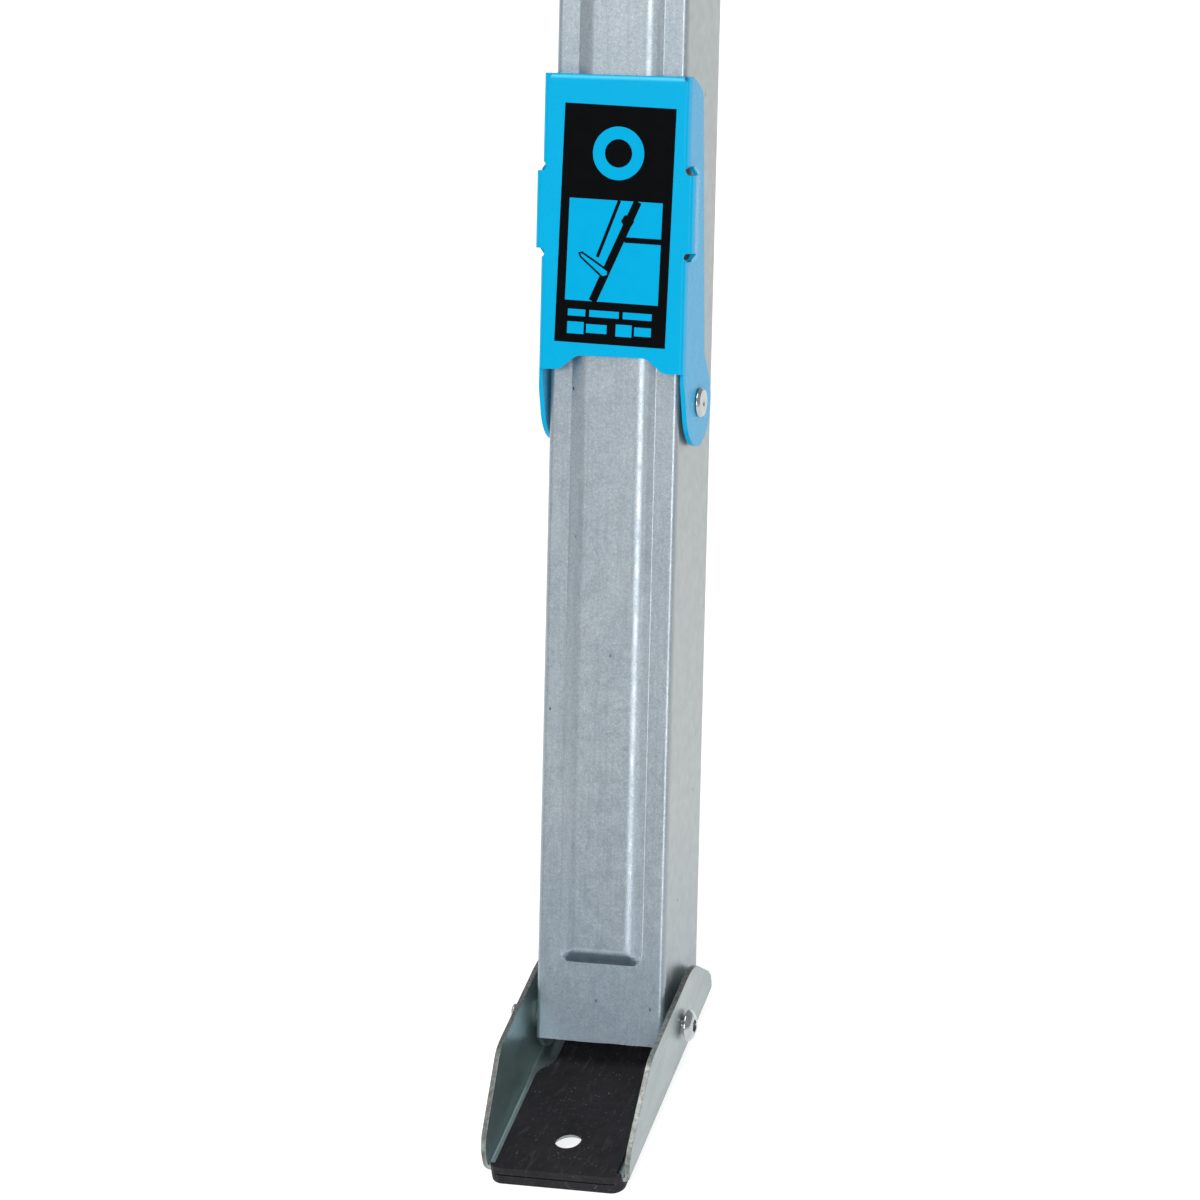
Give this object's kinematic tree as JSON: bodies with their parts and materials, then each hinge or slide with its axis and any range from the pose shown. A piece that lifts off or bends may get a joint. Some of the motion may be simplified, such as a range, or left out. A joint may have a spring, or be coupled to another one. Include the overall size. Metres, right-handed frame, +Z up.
{
  "type": "folding sawhorse",
  "caption": "Folding steel sawhorse: channel beam on splayed galvanised legs with pivoting rubber-soled feet, lapped spreaders and blue fold-down lumber brackets.",
  "frame": {"origin": "on the floor, under the middle of the beam", "axes": "+Z up, +X along the beam, front legs on the -Y side"},
  "size_m": [1.0926, 1.1208, 0.864],
  "materials": {
    "galvanised_steel": "hot-dip galvanised sheet, fine spangle with small dark pits, satin",
    "zinc_plate": "zinc-plated pressed sheet, smooth satin",
    "blue_paint": "bright cyan-blue gloss powder coat",
    "zinc_fastener": "bright zinc-plated bolts, nuts and rivets",
    "rubber": "matt black moulded rubber with scuffs",
    "grip": "black ribbed non-slip rubber strip",
    "black_plastic": "fine-textured black moulded plastic"
  },
  "bodies": {
    "beam_assembly": {"beam": "galvanised_steel", "grip_strip": "grip", "end_cap_left": "black_plastic", "end_cap_right": "black_plastic", "hinge_bracket_front_left": "blue_paint", "hinge_pin_front_left": "zinc_fastener", "hinge_bracket_front_right": "blue_paint", "hinge_pin_front_right": "zinc_fastener", "hinge_bracket_rear_left": "blue_paint", "hinge_pin_rear_left": "zinc_fastener", "hinge_bracket_rear_right": "blue_paint", "hinge_pin_rear_right": "zinc_fastener", "beam_bolt_left_inner": "zinc_fastener", "beam_bolt_left_outer": "zinc_fastener", "beam_bolt_right_inner": "zinc_fastener", "beam_bolt_right_outer": "zinc_fastener"},
    "front_legs": {"leg_front_left": "galvanised_steel", "leg_front_right": "galvanised_steel", "cross_rail_front": "galvanised_steel", "lumber_bracket_pin_front_left": "zinc_fastener", "lumber_bracket_pin_front_right": "zinc_fastener", "spreader_pin_front_left": "zinc_fastener", "spreader_pin_front_right": "zinc_fastener"},
    "rear_legs": {"leg_rear_left": "galvanised_steel", "leg_rear_right": "galvanised_steel", "cross_rail_rear": "galvanised_steel", "lumber_bracket_pin_rear_left": "zinc_fastener", "lumber_bracket_pin_rear_right": "zinc_fastener", "spreader_pin_rear_left": "zinc_fastener", "spreader_pin_rear_right": "zinc_fastener"},
    "spreader_front_left": {"spreader_arm_front_left": "zinc_plate", "spreader_rivet_front_left": "zinc_fastener"},
    "spreader_front_right": {"spreader_arm_front_right": "zinc_plate", "spreader_rivet_front_right": "zinc_fastener"},
    "spreader_rear_left": {"spreader_arm_rear_left": "zinc_plate", "spreader_rivet_rear_left": "zinc_fastener"},
    "spreader_rear_right": {"spreader_arm_rear_right": "zinc_plate", "spreader_rivet_rear_right": "zinc_fastener"},
    "lumber_support_front_left": {"lumber_bracket_front_left": "blue_paint"},
    "foot_front_left": {"foot_shoe_front_left": "zinc_plate", "foot_pad_front_left": "rubber", "foot_bolt_front_left": "zinc_fastener", "foot_nut_front_left": "zinc_fastener"},
    "lumber_support_front_right": {"lumber_bracket_front_right": "blue_paint"},
    "foot_front_right": {"foot_shoe_front_right": "zinc_plate", "foot_pad_front_right": "rubber", "foot_bolt_front_right": "zinc_fastener", "foot_nut_front_right": "zinc_fastener"},
    "lumber_support_rear_left": {"lumber_bracket_rear_left": "blue_paint"},
    "foot_rear_left": {"foot_shoe_rear_left": "zinc_plate", "foot_pad_rear_left": "rubber", "foot_bolt_rear_left": "zinc_fastener", "foot_nut_rear_left": "zinc_fastener"},
    "lumber_support_rear_right": {"lumber_bracket_rear_right": "blue_paint"},
    "foot_rear_right": {"foot_shoe_rear_right": "zinc_plate", "foot_pad_rear_right": "rubber", "foot_bolt_rear_right": "zinc_fastener", "foot_nut_rear_right": "zinc_fastener"}
  },
  "joints": [
    {"name": "front_fold", "type": "hinge", "parent": "beam_assembly", "child": "front_legs", "pos_m": [0, -0.06244, 0.812], "axis": [1, 0, 0], "range_deg": [0, 27]},
    {"name": "rear_fold", "type": "hinge", "parent": "beam_assembly", "child": "rear_legs", "pos_m": [0, 0.06244, 0.812], "axis": [-1, 0, 0], "range_deg": [0, 27]},
    {"name": "spreader_front_left_swing", "type": "hinge", "parent": "front_legs", "child": "spreader_front_left", "pos_m": [-0.43, -0.23262, 0.478], "axis": [1, 0, 0], "range_deg": [0, 47.48]},
    {"name": "spreader_front_right_swing", "type": "hinge", "parent": "front_legs", "child": "spreader_front_right", "pos_m": [0.43, -0.23262, 0.478], "axis": [1, 0, 0], "range_deg": [0, 47.48]},
    {"name": "spreader_rear_left_swing", "type": "hinge", "parent": "rear_legs", "child": "spreader_rear_left", "pos_m": [-0.43, 0.23262, 0.478], "axis": [-1, 0, 0], "range_deg": [0, 47.48]},
    {"name": "spreader_rear_right_swing", "type": "hinge", "parent": "rear_legs", "child": "spreader_rear_right", "pos_m": [0.43, 0.23262, 0.478], "axis": [-1, 0, 0], "range_deg": [0, 47.48]},
    {"name": "lumber_support_front_left_drop", "type": "hinge", "parent": "front_legs", "child": "lumber_support_front_left", "pos_m": [-0.43, -0.36507, 0.23347], "axis": [1, 0, 0], "range_deg": [0, 76]},
    {"name": "foot_front_left_tilt", "type": "hinge", "parent": "front_legs", "child": "foot_front_left", "pos_m": [-0.43, -0.47797, 0.0185], "axis": [-1, 0, 0], "range_deg": [-8, 36]},
    {"name": "lumber_support_front_right_drop", "type": "hinge", "parent": "front_legs", "child": "lumber_support_front_right", "pos_m": [0.43, -0.36507, 0.23347], "axis": [1, 0, 0], "range_deg": [0, 76]},
    {"name": "foot_front_right_tilt", "type": "hinge", "parent": "front_legs", "child": "foot_front_right", "pos_m": [0.43, -0.47797, 0.0185], "axis": [-1, 0, 0], "range_deg": [-8, 36]},
    {"name": "lumber_support_rear_left_drop", "type": "hinge", "parent": "rear_legs", "child": "lumber_support_rear_left", "pos_m": [-0.43, 0.36507, 0.23347], "axis": [-1, 0, 0], "range_deg": [0, 76]},
    {"name": "foot_rear_left_tilt", "type": "hinge", "parent": "rear_legs", "child": "foot_rear_left", "pos_m": [-0.43, 0.47797, 0.0185], "axis": [1, 0, 0], "range_deg": [-8, 36]},
    {"name": "lumber_support_rear_right_drop", "type": "hinge", "parent": "rear_legs", "child": "lumber_support_rear_right", "pos_m": [0.43, 0.36507, 0.23347], "axis": [-1, 0, 0], "range_deg": [0, 76]},
    {"name": "foot_rear_right_tilt", "type": "hinge", "parent": "rear_legs", "child": "foot_rear_right", "pos_m": [0.43, 0.47797, 0.0185], "axis": [1, 0, 0], "range_deg": [-8, 36]}
  ],
  "couplings": [
    {"joint": "rear_fold", "follows": "front_fold", "ratio": 1},
    {"joint": "spreader_front_left_swing", "follows": "front_fold", "ratio": 1.7567},
    {"joint": "spreader_front_right_swing", "follows": "front_fold", "ratio": 1.7567},
    {"joint": "spreader_rear_left_swing", "follows": "front_fold", "ratio": 1.7567},
    {"joint": "spreader_rear_right_swing", "follows": "front_fold", "ratio": 1.7567}
  ]
}
